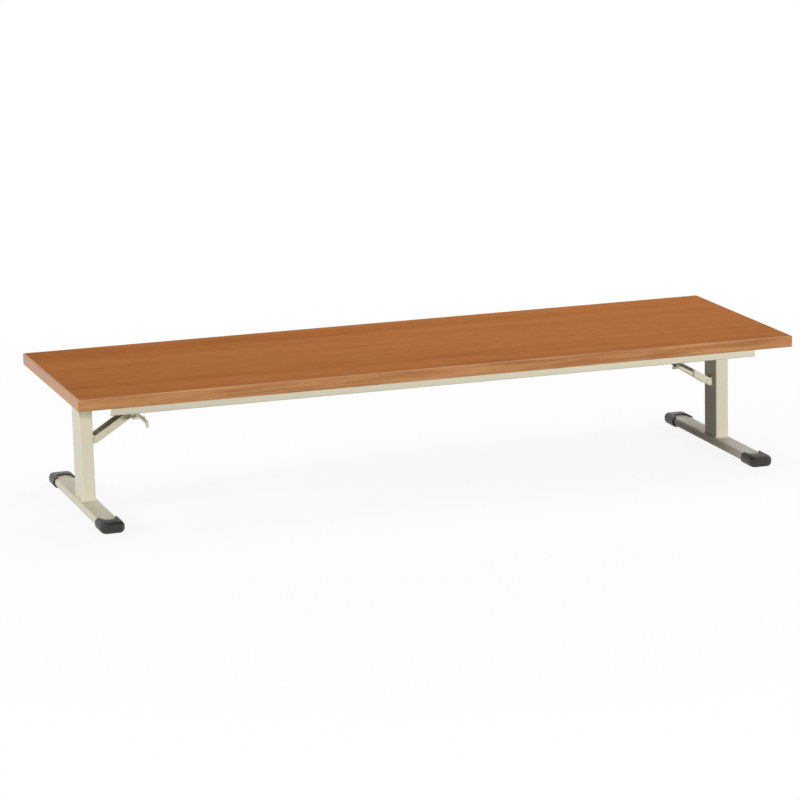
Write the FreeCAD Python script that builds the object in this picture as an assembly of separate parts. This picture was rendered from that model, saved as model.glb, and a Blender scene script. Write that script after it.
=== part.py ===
import FreeCAD, Part
import math
import os

Vector = FreeCAD.Vector
ORIGIN = Vector(0, 0, 0)
X_AXIS = Vector(1, 0, 0)
Y_AXIS = Vector(0, 1, 0)
Z_AXIS = Vector(0, 0, 1)

# A low folding table. The origin is on the floor under the middle of the top.
# X runs along the table, the long front side faces -Y, and Z points up. All sizes are millimetres.

# Table top, a flush panel
TOP_LENGTH = 1800.0
TOP_DEPTH = 600.0
TABLE_HEIGHT = 330.0
TOP_THICKNESS = 28.0
LAMINATE_THICKNESS = 1.2
BACKER_THICKNESS = 1.0
BAND_THICKNESS = 4.0
ARRIS_RADIUS = 3.0
LOWER_ARRIS_RADIUS = 1.5
STILE_WIDTH = 70.0
BEARER_LENGTH = 235.0
RIB_WIDTH = 40.0
RIB_COUNT = 3

# Rails under the top
RAIL_INSET = 35.0
RAIL_END_INSET = 85.0
RAIL_HEIGHT = 24.0
RAIL_TOP_FLANGE = 22.0
RAIL_LOW_FLANGE = 11.0
RAIL_WALL = 1.6
RAIL_BEND_RADIUS = 3.0
RAIL_SCREW_COUNT = 6
RAIL_SCREW_SETBACK = 15.5
RAIL_SCREW_END = 60.0

# Wood screws, one size throughout
SCREW_HEAD_RADIUS = 4.0
SCREW_HEAD_HEIGHT = 2.4
SCREW_HEAD_ROUND = 1.4
SCREW_SHANK_RADIUS = 1.9
SCREW_SHANK_LENGTH = 16.0
SCREW_HOLE_CLEARANCE = 0.3

# Leg: post, foot bar and slip-on caps
LEG_INSET = 75.0
POST_THICKNESS = 34.0
POST_WIDTH = 75.0
POST_WALL = 1.6
POST_CORNER = 4.0
POST_ABOVE_PIVOT = 20.0
FOOT_LENGTH = 580.0
FOOT_WIDTH = 52.0
FOOT_HEIGHT = 20.0
FOOT_WALL = 1.6
FOOT_CORNER = 8.0
CAP_WALL = 4.0
CAP_LENGTH = 70.0
CAP_END_WALL = 26.0
CAP_NOSE_LENGTH = 22.0
CAP_NOSE_INSET = 20.0
CAP_NOSE_DROP = 7.0
CAP_NOSE_STEPS = 5
CAP_LIP_RADIUS = 1.2
CAP_TONGUE_WIDTH = 38.0
CAP_TONGUE_LENGTH = 30.0

# Leg hinge: bracket, pin, clip and bearing sleeve
PIVOT_DROP = 58.0
PIN_RADIUS = 5.0
PIN_HEAD_RADIUS = 7.0
PIN_HEAD_THICKNESS = 2.4
PIN_TAIL = 5.0
CLIP_RADIUS = 9.0
CLIP_THICKNESS = 1.2
CLIP_MOUTH = 7.0
SLEEVE_WALL = 2.0
BRACKET_PLATE = 2.0
BRACKET_SIDE_GAP = 0.5
BRACKET_BEND_RADIUS = 3.0
BRACKET_HALF_LENGTH = 34.0
BRACKET_EAR_RADIUS = 14.0
BRACKET_SCREW_X = 24.0
BRACKET_SCREW_Y = 25.0

# Folding stay between the post and the keeper
LUG_PLATE = 2.0
LUG_PIVOT_OUT = 11.0
LUG_EAR_RADIUS = 8.0
LUG_HALF_HEIGHT = 13.0
STAY_PIVOT_DROP = 75.0
STAY_REACH = 95.0
STAY_RISE = 60.0
STAY_WIDTH = 40.0
STAY_DEPTH = 18.0
STAY_WALL = 1.6
STAY_BEND_RADIUS = 3.0
STAY_LUG_GAP = 0.4
STAY_EAR_LENGTH = 26.0
STAY_PIN_RADIUS = 4.0
STAY_PIN_HEAD_RADIUS = 6.5
STAY_PIN_HEAD_THICKNESS = 2.0
STAY_PIN_SIDE_GAP = 0.3
FOLDED_STAY_TILT_DEG = 9.0
LEG_FOLD_DEG = 90.0

# Release bar through the upper end of the stay
BAR_RADIUS = 4.0
BAR_FRONT = 150.0
BAR_REAR = 58.0
BAR_BEND_RADIUS = 9.0
BAR_DROOP = 3.0
BAR_TIP_ROUND = 1.5

# Keeper bracket with hook slots, and the leaf spring that closes them
KEEPER_PLATE = 2.0
KEEPER_SIDE = 52.0
KEEPER_BEND_RADIUS = 3.0
KEEPER_INBOARD = 20.0
KEEPER_OUTBOARD = 30.0
KEEPER_HOOK_OUTBOARD = 14.0
KEEPER_BELOW_BAR = 12.0
KEEPER_LIP_ROUND = 3.0
KEEPER_SLOT_GAP = 0.3
KEEPER_MOUTH_FLARE = 3.0
KEEPER_STRAIGHT = 6.0
KEEPER_SCREW_X_OUT = 22.0
KEEPER_SCREW_X_IN = 12.0
KEEPER_SCREW_Y = 18.0
SPRING_THICKNESS = 0.8
SPRING_FINGER = 8.0
SPRING_POST_GAP = 3.0
SPRING_BASE_OUT = 10.0
SPRING_BASE_IN = 2.0
SPRING_BAR_GAP = 0.3
SPRING_STAND_OFF = 13.0
SPRING_BULGE_HEIGHT = 5.0
SPRING_TOE_DROP = 8.0

# Fits
RUNNING_FIT = 0.05
SEATED_FIT = 0.02
OVERRUN = 4.0

# Heights and places worked out from the sizes above
UNDERSIDE = TABLE_HEIGHT - TOP_THICKNESS
CORE_BOTTOM = UNDERSIDE + BACKER_THICKNESS
CORE_TOP = TABLE_HEIGHT - LAMINATE_THICKNESS
HALF_LENGTH = TOP_LENGTH / 2
HALF_DEPTH = TOP_DEPTH / 2
CORE_HALF_LENGTH = HALF_LENGTH - BAND_THICKNESS
CORE_HALF_DEPTH = HALF_DEPTH - BAND_THICKNESS
STILE_INNER = CORE_HALF_DEPTH - STILE_WIDTH
BEARER_INNER = CORE_HALF_LENGTH - BEARER_LENGTH
RAIL_HALF_LENGTH = HALF_LENGTH - RAIL_END_INSET
LEG_X = HALF_LENGTH - LEG_INSET
PIVOT = Vector(LEG_X, 0, UNDERSIDE - PIVOT_DROP)
POST_INNER_X = LEG_X - POST_THICKNESS / 2
FOOT_TOP = CAP_WALL + FOOT_HEIGHT
STAY_PIVOT = Vector(POST_INNER_X - LUG_PIVOT_OUT, 0, PIVOT.z - STAY_PIVOT_DROP)
BAR_PLACE = STAY_PIVOT + Vector(-STAY_REACH, 0, STAY_RISE)
STAY_LENGTH = math.hypot(STAY_REACH, STAY_RISE)
STAY_ANGLE_DEG = 180.0 - math.degrees(math.atan2(STAY_RISE, STAY_REACH))
STAY_TURN_DEG = 180.0 - FOLDED_STAY_TILT_DEG - STAY_ANGLE_DEG


def block(low, high):
    """A box between two opposite corners."""
    size = high - low
    return Part.makeBox(size.x, size.y, size.z, low)


def edges_along(shape, axis, keep):
    """Straight edges parallel to an axis whose middle passes a test."""
    found = []
    for edge in shape.Edges:
        if len(edge.Vertexes) != 2:
            continue
        run = edge.Vertexes[1].Point - edge.Vertexes[0].Point
        if run.cross(axis).Length < RUNNING_FIT and keep(edge.CenterOfMass):
            found.append(edge)
    return found


def rounded_block(low, high, axis, radius, keep=lambda point: True):
    """A box whose chosen edges along one axis are rounded."""
    solid = block(low, high)
    return solid.makeFillet(radius, edges_along(solid, axis, keep))


def plate_from(points, thickness_low, thickness_high):
    """A plate with a straight-sided outline in X and Z, standing across Y."""
    corners = [Vector(x, thickness_low, z) for x, z in points]
    face = Part.Face(Part.makePolygon(corners + corners[:1]))
    return face.extrude(Vector(0, thickness_high - thickness_low, 0))


def rod(centre, radius, y_low, y_high):
    """A round bar along Y at a place in X and Z."""
    return Part.makeCylinder(radius, y_high - y_low, Vector(centre.x, y_low, centre.z), Y_AXIS)


def ear_outline(base_x_low, base_x_high, base_z, centre, radius):
    """A face in X and Z that tapers from a straight base to a round end below it."""
    drop = base_z - centre.z

    def tangent_point(base_x, side):
        reach = math.hypot(base_x - centre.x, drop)
        to_base = math.atan2(drop, base_x - centre.x)
        turn = math.acos(radius / reach)
        angle = to_base - side * turn
        return Vector(centre.x + radius * math.cos(angle), 0, centre.z + radius * math.sin(angle))

    right = tangent_point(base_x_high, 1)
    left = tangent_point(base_x_low, -1)
    lowest = Vector(centre.x, 0, centre.z - radius)
    base_right = Vector(base_x_high, 0, base_z)
    base_left = Vector(base_x_low, 0, base_z)
    edges = [
        Part.LineSegment(base_left, base_right).toShape(),
        Part.LineSegment(base_right, right).toShape(),
        Part.Arc(right, lowest, left).toShape(),
        Part.LineSegment(left, base_left).toShape(),
    ]
    return Part.Face(Part.Wire(edges))


def standing(face, y_low, y_high):
    """A flat face in X and Z pushed out across Y."""
    moved = face.copy()
    moved.translate(Vector(0, y_low, 0))
    return moved.extrude(Vector(0, y_high - y_low, 0))


def screw(x, y, seat_z):
    """A pan-head wood screw driven upwards, with its head under a seat."""
    crown_z = seat_z - SCREW_HEAD_HEIGHT
    head = Part.makeCylinder(SCREW_HEAD_RADIUS, SCREW_HEAD_HEIGHT, Vector(x, y, crown_z))
    low_rim = [edge for edge in head.Edges if edge.CenterOfMass.z < crown_z + SCREW_HEAD_HEIGHT / 2
               and len(edge.Vertexes) == 1]
    head = head.makeFillet(SCREW_HEAD_ROUND, low_rim)
    shank = Part.makeCylinder(SCREW_SHANK_RADIUS, SCREW_SHANK_LENGTH, Vector(x, y, seat_z))
    return head.fuse(shank).removeSplitter()


def screw_hole(x, y, seat_z, clearance):
    """The hole that a screw passes through."""
    length = SCREW_SHANK_LENGTH + OVERRUN
    start = Vector(x, y, seat_z - OVERRUN + clearance)
    return Part.makeCylinder(SCREW_SHANK_RADIUS + clearance, length, start)


def mirrored(shape):
    """The same piece at the other end of the table."""
    return shape.mirror(ORIGIN, X_AXIS)


# Screw places: along both rails, and in the bracket and keeper at each end
RAIL_SEAT = UNDERSIDE - RAIL_WALL
RAIL_SCREW_SPAN = 2 * (RAIL_HALF_LENGTH - RAIL_SCREW_END)
RAIL_SCREW_Y = HALF_DEPTH - RAIL_INSET - RAIL_SCREW_SETBACK
RAIL_SCREW_PITCH = RAIL_SCREW_SPAN / (RAIL_SCREW_COUNT - 1)
rail_screw_xs = [count * RAIL_SCREW_PITCH - RAIL_SCREW_SPAN / 2 for count in range(RAIL_SCREW_COUNT)]
BRACKET_SEAT = UNDERSIDE - BRACKET_PLATE
bracket_screw_places = [
    (LEG_X + side_x * BRACKET_SCREW_X, side_y * BRACKET_SCREW_Y) for side_x in (-1, 1) for side_y in (-1, 1)
]
KEEPER_SEAT = UNDERSIDE - KEEPER_PLATE
keeper_screw_places = [
    (BAR_PLACE.x + shift, side_y * KEEPER_SCREW_Y)
    for shift in (-KEEPER_SCREW_X_IN, KEEPER_SCREW_X_OUT) for side_y in (-1, 1)
]
rail_holes = [
    screw_hole(x, side * RAIL_SCREW_Y, RAIL_SEAT, RUNNING_FIT) for x in rail_screw_xs for side in (-1, 1)
]
fitting_holes = []
for places, seat in ((bracket_screw_places, BRACKET_SEAT), (keeper_screw_places, KEEPER_SEAT)):
    for x, y in places:
        fitting_holes.append(screw_hole(x, y, seat, RUNNING_FIT))
fitting_holes_left = [mirrored(hole) for hole in fitting_holes]


# The top: laminate, backing sheet, timber core, honeycomb fill and edge bands
def top_laminate():
    low = Vector(-CORE_HALF_LENGTH, -CORE_HALF_DEPTH, CORE_TOP)
    return block(low, Vector(CORE_HALF_LENGTH, CORE_HALF_DEPTH, TABLE_HEIGHT))


def underside_backer():
    low = Vector(-CORE_HALF_LENGTH, -CORE_HALF_DEPTH, UNDERSIDE)
    sheet = block(low, Vector(CORE_HALF_LENGTH, CORE_HALF_DEPTH, CORE_BOTTOM))
    return sheet.cut(rail_holes + fitting_holes + fitting_holes_left)


def core_stile(side):
    y_ends = sorted((side * STILE_INNER, side * CORE_HALF_DEPTH))
    low = Vector(-CORE_HALF_LENGTH, y_ends[0], CORE_BOTTOM)
    return block(low, Vector(CORE_HALF_LENGTH, y_ends[1], CORE_TOP)).cut(rail_holes)


def core_bearer():
    low = Vector(BEARER_INNER, -STILE_INNER, CORE_BOTTOM)
    return block(low, Vector(CORE_HALF_LENGTH, STILE_INNER, CORE_TOP)).cut(fitting_holes)


BAY_COUNT = RIB_COUNT + 1
BAY_LENGTH = (2 * BEARER_INNER - RIB_COUNT * RIB_WIDTH) / BAY_COUNT


def core_filling(start, length):
    low = Vector(start, -STILE_INNER, CORE_BOTTOM)
    return block(low, Vector(start + length, STILE_INNER, CORE_TOP))


def core_ribs():
    starts = [-BEARER_INNER + BAY_LENGTH + count * (BAY_LENGTH + RIB_WIDTH) for count in range(RIB_COUNT)]
    return Part.makeCompound([core_filling(start, RIB_WIDTH) for start in starts])


def honeycomb_fill():
    starts = [-BEARER_INNER + count * (BAY_LENGTH + RIB_WIDTH) for count in range(BAY_COUNT)]
    return Part.makeCompound([core_filling(start, BAY_LENGTH) for start in starts])


def softened(band, is_outer):
    """Round an edge band's outer edges, more at the top than at the bottom."""
    upper = [edge for edge in band.Edges if is_outer(edge.CenterOfMass) and edge.CenterOfMass.z > CORE_BOTTOM]
    band = band.makeFillet(ARRIS_RADIUS, upper)
    lower = [edge for edge in band.Edges if is_outer(edge.CenterOfMass)
             and edge.CenterOfMass.z < UNDERSIDE + RUNNING_FIT]
    return band.makeFillet(LOWER_ARRIS_RADIUS, lower)


def long_edge_band(side):
    y_ends = sorted((side * CORE_HALF_DEPTH, side * HALF_DEPTH))
    low = Vector(-CORE_HALF_LENGTH, y_ends[0], UNDERSIDE)
    band = block(low, Vector(CORE_HALF_LENGTH, y_ends[1], TABLE_HEIGHT))
    return softened(band, lambda point: side * point.y > HALF_DEPTH - RUNNING_FIT
                    and abs(point.x) < CORE_HALF_LENGTH - RUNNING_FIT)


def end_edge_band(side):
    x_ends = sorted((side * CORE_HALF_LENGTH, side * HALF_LENGTH))
    low = Vector(x_ends[0], -HALF_DEPTH, UNDERSIDE)
    band = block(low, Vector(x_ends[1], HALF_DEPTH, TABLE_HEIGHT))
    return softened(band, lambda point: abs(point.x) > CORE_HALF_LENGTH + RUNNING_FIT
                    and (side * point.x > HALF_LENGTH - RUNNING_FIT
                         or abs(point.y) > HALF_DEPTH - RUNNING_FIT))


# A pressed steel channel under each long side, open towards the middle of the table
def front_rail():
    face_y = RAIL_INSET - HALF_DEPTH
    low_z = UNDERSIDE - RAIL_HEIGHT
    outer = rounded_block(
        Vector(-RAIL_HALF_LENGTH, face_y, low_z),
        Vector(RAIL_HALF_LENGTH, face_y + RAIL_TOP_FLANGE, UNDERSIDE),
        X_AXIS, RAIL_BEND_RADIUS, lambda point: point.y < face_y + RAIL_WALL)
    inner = rounded_block(
        Vector(-RAIL_HALF_LENGTH - OVERRUN, face_y + RAIL_WALL, low_z + RAIL_WALL),
        Vector(RAIL_HALF_LENGTH + OVERRUN, face_y + RAIL_TOP_FLANGE + OVERRUN, UNDERSIDE - RAIL_WALL),
        X_AXIS, RAIL_BEND_RADIUS - RAIL_WALL, lambda point: point.y < face_y + RAIL_BEND_RADIUS)
    trim = block(
        Vector(-RAIL_HALF_LENGTH - OVERRUN, face_y + RAIL_LOW_FLANGE, low_z - OVERRUN),
        Vector(RAIL_HALF_LENGTH + OVERRUN, face_y + RAIL_TOP_FLANGE + OVERRUN, UNDERSIDE - RAIL_WALL))
    holes = [screw_hole(x, -RAIL_SCREW_Y, RAIL_SEAT, SCREW_HOLE_CLEARANCE) for x in rail_screw_xs]
    return outer.cut([inner, trim] + holes)


def rail_screws():
    places = [(x, side * RAIL_SCREW_Y) for side in (-1, 1) for x in rail_screw_xs]
    return Part.makeCompound([screw(x, y, RAIL_SEAT) for x, y in places])


# Hinge bracket: a U pressed from plate, screwed to the bearer, its two ears holding the pivot pin
EAR_INNER_Y = POST_WIDTH / 2 + BRACKET_SIDE_GAP
EAR_OUTER_Y = EAR_INNER_Y + BRACKET_PLATE


def u_channel(half_outer, x_low, x_high, z_low, plate, bend):
    """An inverted U of plate under the table top, open at both ends and below."""
    outer = rounded_block(
        Vector(x_low, -half_outer, z_low), Vector(x_high, half_outer, UNDERSIDE),
        X_AXIS, bend, lambda point: point.z > UNDERSIDE - plate)
    inner = rounded_block(
        Vector(x_low - OVERRUN, plate - half_outer, z_low - OVERRUN),
        Vector(x_high + OVERRUN, half_outer - plate, UNDERSIDE - plate),
        X_AXIS, bend - plate, lambda point: point.z > UNDERSIDE - bend)
    return outer.cut(inner)


def hinge_bracket():
    x_low = LEG_X - BRACKET_HALF_LENGTH
    x_high = LEG_X + BRACKET_HALF_LENGTH
    shell = u_channel(EAR_OUTER_Y, x_low, x_high, PIVOT.z - BRACKET_EAR_RADIUS, BRACKET_PLATE,
                      BRACKET_BEND_RADIUS)
    ear_base = UNDERSIDE - BRACKET_BEND_RADIUS
    outline = ear_outline(x_low, x_high, ear_base, PIVOT, BRACKET_EAR_RADIUS)
    keep = standing(outline, -EAR_OUTER_Y - OVERRUN, EAR_OUTER_Y + OVERRUN)
    crown = block(Vector(x_low, -EAR_OUTER_Y, ear_base), Vector(x_high, EAR_OUTER_Y, UNDERSIDE))
    bore = rod(PIVOT, PIN_RADIUS + RUNNING_FIT, -EAR_OUTER_Y - OVERRUN, EAR_OUTER_Y + OVERRUN)
    holes = [screw_hole(x, y, BRACKET_SEAT, SCREW_HOLE_CLEARANCE) for x, y in bracket_screw_places]
    return shell.common(keep.fuse(crown).removeSplitter()).cut([bore] + holes)


CLIP_Y = EAR_OUTER_Y + SEATED_FIT
PIN_GROOVE_RADIUS = CLIP_MOUTH / 2


def pivot_pin():
    shank = rod(PIVOT, PIN_RADIUS, -EAR_OUTER_Y, CLIP_Y + PIN_TAIL)
    head = rod(PIVOT, PIN_HEAD_RADIUS, -EAR_OUTER_Y - PIN_HEAD_THICKNESS, -EAR_OUTER_Y)
    groove = rod(PIVOT, PIN_RADIUS + OVERRUN, CLIP_Y, CLIP_Y + CLIP_THICKNESS)
    neck = rod(PIVOT, PIN_GROOVE_RADIUS, CLIP_Y, CLIP_Y + CLIP_THICKNESS)
    rims = [edge for edge in head.Edges if edge.CenterOfMass.y < -EAR_OUTER_Y - PIN_HEAD_THICKNESS / 2
            and len(edge.Vertexes) == 1]
    head = head.makeChamfer(PIN_HEAD_THICKNESS / 3, rims)
    return shank.cut(groove).fuse([neck, head]).removeSplitter()


def pin_clip():
    disc = rod(PIVOT, CLIP_RADIUS, CLIP_Y, CLIP_Y + CLIP_THICKNESS)
    seat = rod(PIVOT, PIN_GROOVE_RADIUS + SEATED_FIT, CLIP_Y - OVERRUN, CLIP_Y + CLIP_THICKNESS + OVERRUN)
    mouth_half = PIN_GROOVE_RADIUS + SEATED_FIT
    mouth = block(
        Vector(PIVOT.x - mouth_half, CLIP_Y - OVERRUN, PIVOT.z - CLIP_RADIUS - OVERRUN),
        Vector(PIVOT.x + mouth_half, CLIP_Y + CLIP_THICKNESS + OVERRUN, PIVOT.z))
    return disc.cut([seat, mouth])


SLEEVE_BORE = PIN_RADIUS + RUNNING_FIT
SLEEVE_RADIUS = SLEEVE_BORE + SLEEVE_WALL


def pivot_sleeve():
    outer = rod(PIVOT, SLEEVE_RADIUS, -POST_WIDTH / 2, POST_WIDTH / 2)
    return outer.cut(rod(PIVOT, SLEEVE_BORE, -POST_WIDTH / 2 - OVERRUN, POST_WIDTH / 2 + OVERRUN))


# Leg: rectangular post standing on a flat-oval foot bar with a black cap slipped over each end
def leg_post():
    top_z = PIVOT.z + POST_ABOVE_PIVOT
    half_x = POST_THICKNESS / 2
    half_y = POST_WIDTH / 2
    outer = rounded_block(
        Vector(LEG_X - half_x, -half_y, FOOT_TOP), Vector(LEG_X + half_x, half_y, top_z), Z_AXIS, POST_CORNER)
    inner = rounded_block(
        Vector(LEG_X - half_x + POST_WALL, POST_WALL - half_y, FOOT_TOP - OVERRUN),
        Vector(LEG_X + half_x - POST_WALL, half_y - POST_WALL, top_z + OVERRUN),
        Z_AXIS, POST_CORNER - POST_WALL)
    bore = rod(PIVOT, SLEEVE_RADIUS + SEATED_FIT, -half_y - OVERRUN, half_y + OVERRUN)
    return outer.cut([inner, bore])


TUBE_HALF_LENGTH = FOOT_LENGTH / 2 - CAP_END_WALL


def foot_section(grow, y_low, y_high):
    """The foot bar's flat-oval section, grown or shrunk evenly, between two places along Y."""
    half = FOOT_WIDTH / 2 + grow
    return rounded_block(
        Vector(LEG_X - half, y_low, CAP_WALL - grow), Vector(LEG_X + half, y_high, FOOT_TOP + grow),
        Y_AXIS, FOOT_CORNER + grow)


def foot_bar():
    outer = foot_section(0, -TUBE_HALF_LENGTH, TUBE_HALF_LENGTH)
    return outer.cut(foot_section(-FOOT_WALL, -TUBE_HALF_LENGTH - OVERRUN, TUBE_HALF_LENGTH + OVERRUN))


def cap_outline(y, inset, drop):
    """The cap's outline across Y, drawn in at both sides and at top and bottom."""
    half_x = FOOT_WIDTH / 2 + CAP_WALL - inset
    half_z = FOOT_HEIGHT / 2 + CAP_WALL - drop
    corner = (FOOT_CORNER + CAP_WALL) * half_z / (FOOT_HEIGHT / 2 + CAP_WALL)
    middle_z = CAP_WALL + FOOT_HEIGHT / 2
    slice_solid = rounded_block(
        Vector(LEG_X - half_x, y, middle_z - half_z), Vector(LEG_X + half_x, y + OVERRUN, middle_z + half_z),
        Y_AXIS, corner)
    near_face = min(slice_solid.Faces, key=lambda face: face.CenterOfMass.y)
    return near_face.OuterWire


def foot_cap_rear():
    tip = FOOT_LENGTH / 2
    lip_y = tip - CAP_LENGTH
    nose_start = tip - CAP_NOSE_LENGTH
    shell = foot_section(CAP_WALL, lip_y, nose_start)
    lip = [edge for edge in shell.Edges if edge.CenterOfMass.y < lip_y + RUNNING_FIT]
    shell = shell.makeFillet(CAP_LIP_RADIUS, lip)
    outlines = []
    for count in range(CAP_NOSE_STEPS):
        angle = math.radians(90.0 * count / (CAP_NOSE_STEPS - 1))
        drawn_in = 1 - math.cos(angle)
        y = nose_start + CAP_NOSE_LENGTH * math.sin(angle)
        outlines.append(cap_outline(y, CAP_NOSE_INSET * drawn_in, CAP_NOSE_DROP * drawn_in))
    nose = Part.makeLoft(outlines, True)
    pocket = foot_section(SEATED_FIT, lip_y - OVERRUN, TUBE_HALF_LENGTH + SEATED_FIT)
    tongue_half = CAP_TONGUE_WIDTH / 2
    tongue_round_y = lip_y + CAP_TONGUE_LENGTH - tongue_half
    tongue = block(
        Vector(LEG_X - tongue_half, lip_y - OVERRUN, FOOT_TOP - CAP_WALL),
        Vector(LEG_X + tongue_half, tongue_round_y, FOOT_TOP + CAP_WALL + OVERRUN))
    tongue_end = Part.makeCylinder(
        tongue_half, 2 * CAP_WALL + OVERRUN, Vector(LEG_X, tongue_round_y, FOOT_TOP - CAP_WALL))
    return shell.fuse(nose).removeSplitter().cut([pocket, tongue, tongue_end])


# Stay: lug on the post, rivet, pressed channel and the release bar through its upper end
STAY_INNER_Y = STAY_WIDTH / 2 - STAY_WALL
LUG_OUTER_Y = STAY_INNER_Y - STAY_LUG_GAP


def stay_lug():
    base_low = STAY_PIVOT.z - LUG_HALF_HEIGHT
    base_high = STAY_PIVOT.z + LUG_HALF_HEIGHT
    base = block(
        Vector(POST_INNER_X - LUG_PLATE, -LUG_OUTER_Y, base_low),
        Vector(POST_INNER_X, LUG_OUTER_Y, base_high))
    outline = ear_outline(
        -LUG_HALF_HEIGHT, LUG_HALF_HEIGHT, LUG_PIVOT_OUT, ORIGIN, LUG_EAR_RADIUS)
    ear = standing(outline, -LUG_OUTER_Y, LUG_PLATE - LUG_OUTER_Y)
    ear.rotate(ORIGIN, Y_AXIS, 90.0)
    ear.translate(STAY_PIVOT)
    far_ear = ear.copy()
    far_ear.translate(Vector(0, 2 * LUG_OUTER_Y - LUG_PLATE, 0))
    bore = rod(STAY_PIVOT, STAY_PIN_RADIUS + SEATED_FIT, -STAY_WIDTH, STAY_WIDTH)
    return base.fuse([ear, far_ear]).removeSplitter().cut(bore)


def stay_pin():
    head_inner = STAY_WIDTH / 2 + STAY_PIN_SIDE_GAP
    head_outer = head_inner + STAY_PIN_HEAD_THICKNESS
    shank = rod(STAY_PIVOT, STAY_PIN_RADIUS, -head_outer, head_outer)
    heads = [
        rod(STAY_PIVOT, STAY_PIN_HEAD_RADIUS, low, low + STAY_PIN_HEAD_THICKNESS)
        for low in (-head_outer, head_inner)
    ]
    return shank.fuse(heads).removeSplitter()


def fold_stay():
    half_depth = STAY_DEPTH / 2
    half_width = STAY_WIDTH / 2
    start = -half_depth
    end = STAY_LENGTH + half_depth
    outer = rounded_block(
        Vector(start, -half_width, -half_depth - OVERRUN), Vector(end, half_width, half_depth),
        X_AXIS, STAY_BEND_RADIUS, lambda point: point.z > 0)
    inner = rounded_block(
        Vector(start - OVERRUN, -STAY_INNER_Y, -STAY_DEPTH),
        Vector(end + OVERRUN, STAY_INNER_Y, half_depth - STAY_WALL),
        X_AXIS, STAY_BEND_RADIUS - STAY_WALL, lambda point: point.z > 0)
    ends = [rod(Vector(x, 0, 0), half_depth, -STAY_WIDTH, STAY_WIDTH) for x in (0, STAY_LENGTH)]
    middle = block(Vector(0, -STAY_WIDTH, -half_depth), Vector(STAY_LENGTH, STAY_WIDTH, half_depth))
    window = block(
        Vector(start - OVERRUN, -STAY_INNER_Y, 0), Vector(STAY_EAR_LENGTH, STAY_INNER_Y, STAY_DEPTH))
    low_bore = rod(ORIGIN, STAY_PIN_RADIUS + RUNNING_FIT, -STAY_WIDTH, STAY_WIDTH)
    high_bore = rod(Vector(STAY_LENGTH, 0, 0), BAR_RADIUS + SEATED_FIT, -STAY_WIDTH, STAY_WIDTH)
    rounded_ends = middle.fuse(ends).removeSplitter()
    stay = outer.cut(inner).common(rounded_ends).cut([window, low_bore, high_bore])
    stay.rotate(ORIGIN, Y_AXIS, -STAY_ANGLE_DEG)
    stay.translate(STAY_PIVOT)
    return stay


def release_bar():
    rear = BAR_PLACE + Vector(0, BAR_REAR, 0)
    front_y = BAR_BEND_RADIUS - BAR_FRONT
    bend_start = BAR_PLACE + Vector(0, front_y, 0)
    bend_centre = bend_start - Vector(0, 0, BAR_BEND_RADIUS)
    diagonal = BAR_BEND_RADIUS * math.sqrt(0.5)
    bend_middle = bend_centre + Vector(0, -diagonal, diagonal)
    bend_end = bend_centre - Vector(0, BAR_BEND_RADIUS, 0)
    tip = bend_end - Vector(0, 0, BAR_DROOP)
    path = Part.Wire([
        Part.LineSegment(rear, bend_start).toShape(),
        Part.Arc(bend_start, bend_middle, bend_end).toShape(),
        Part.LineSegment(bend_end, tip).toShape(),
    ])
    section = Part.Wire(Part.Circle(rear, Y_AXIS, BAR_RADIUS).toShape())
    bar = path.makePipeShell([section], True, False)
    rims = [edge for edge in bar.Edges if len(edge.Vertexes) == 1
            and (edge.CenterOfMass.z < tip.z + RUNNING_FIT or edge.CenterOfMass.y > rear.y - RUNNING_FIT)]
    return bar.makeFillet(BAR_TIP_ROUND, rims)


# Keeper: a U of plate whose two cheeks hook the release bar, with a leaf spring closing the hooks
KEEPER_OUTER_Y = KEEPER_SIDE + KEEPER_PLATE


def bar_leaving_direction():
    """The way the bar sets off when the leg starts to fold, from the leg's and the stay's turning."""
    arm = STAY_PIVOT - PIVOT
    stay_rate = STAY_TURN_DEG / LEG_FOLD_DEG
    angle = math.radians(STAY_ANGLE_DEG)
    x_rate = arm.z - stay_rate * STAY_LENGTH * math.sin(angle)
    z_rate = -arm.x + stay_rate * STAY_LENGTH * math.cos(angle)
    return Vector(x_rate, 0, z_rate).normalize()


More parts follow.
